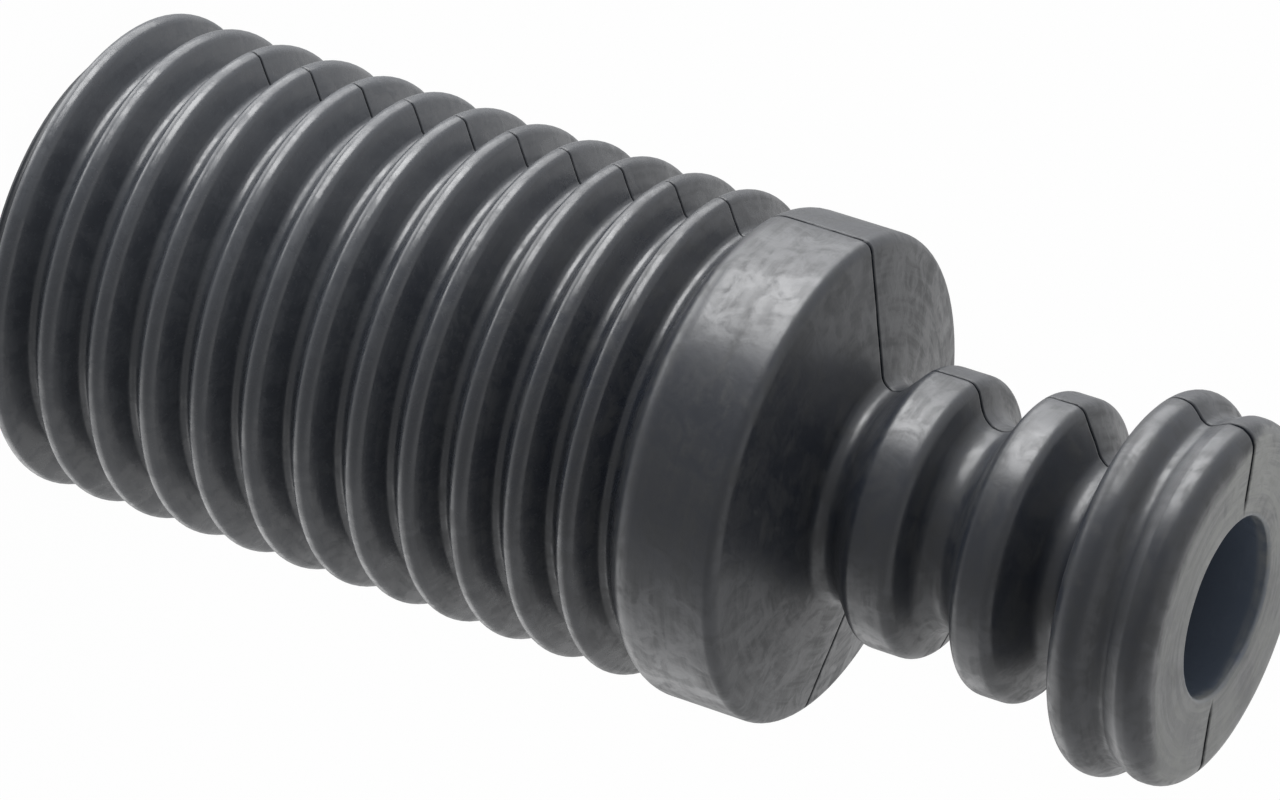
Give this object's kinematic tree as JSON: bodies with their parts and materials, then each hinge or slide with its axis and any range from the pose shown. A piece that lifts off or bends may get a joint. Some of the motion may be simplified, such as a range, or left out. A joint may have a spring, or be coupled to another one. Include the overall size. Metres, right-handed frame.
{
  "type": "rubber bellows boot",
  "caption": "One-piece moulded rubber dust boot: folded bellows, hollow collar, lobed bump stop with rod bore, and a ribbed ring that seats on a strut's top mount.",
  "frame": {"origin": "centre of the wide mouth, in the plane of its edge", "axes": "+Z along the boot's axis, from the mouth up to the ribbed ring; the mould's parting plane is the XZ plane"},
  "size_m": [0.0604, 0.0604, 0.1547],
  "materials": {
    "black_rubber": "satin moulded rubber, dark blue-grey"
  },
  "bodies": {
    "root": {"boot": "black_rubber"}
  },
  "joints": []
}
